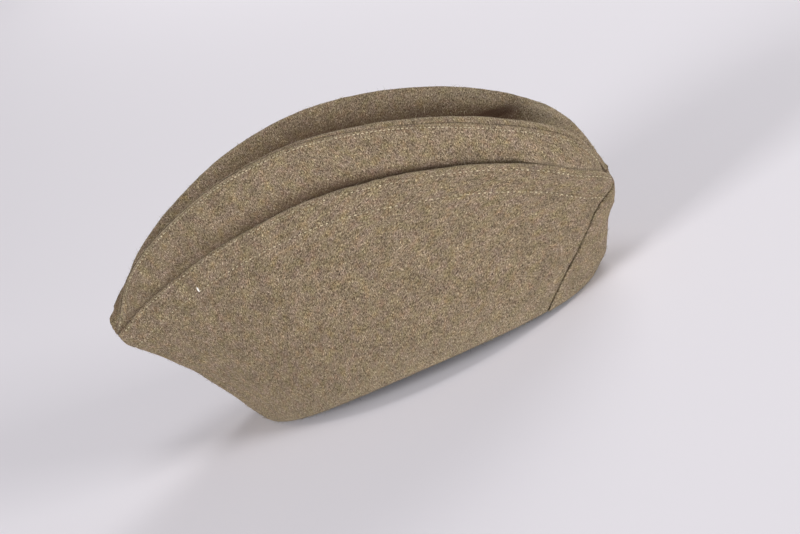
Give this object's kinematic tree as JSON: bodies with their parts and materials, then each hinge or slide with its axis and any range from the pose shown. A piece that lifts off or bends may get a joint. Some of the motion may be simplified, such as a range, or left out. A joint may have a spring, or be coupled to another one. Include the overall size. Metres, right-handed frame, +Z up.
{
  "type": "field cap",
  "caption": "Folding wool side cap with a sunken lengthwise top, a turned-up curtain lapped at the front and an open rim for the head.",
  "frame": {"origin": "on the surface that the cap rests on, under the centre of its bounding box", "axes": "+X towards the front of the cap, +Y towards the wearer's left, +Z up towards the crown"},
  "size_m": [0.2902, 0.154, 0.1427],
  "materials": {
    "crown_side_right": "heather olive-drab wool melton, matt and slightly fuzzy",
    "crown_side_left": "heather olive-drab wool melton, matt and slightly fuzzy",
    "crown_top": "heather olive-drab wool melton with a stitched welt seam on both ridges",
    "curtain_right": "heather olive-drab wool melton, double, top edge folded and topstitched",
    "curtain_left": "heather olive-drab wool melton, double, top edge folded and topstitched"
  },
  "bodies": {
    "root": {"crown_side_right": "crown_side_right", "crown_side_left": "crown_side_left", "crown_top": "crown_top", "curtain_right": "curtain_right", "curtain_left": "curtain_left"}
  },
  "joints": []
}
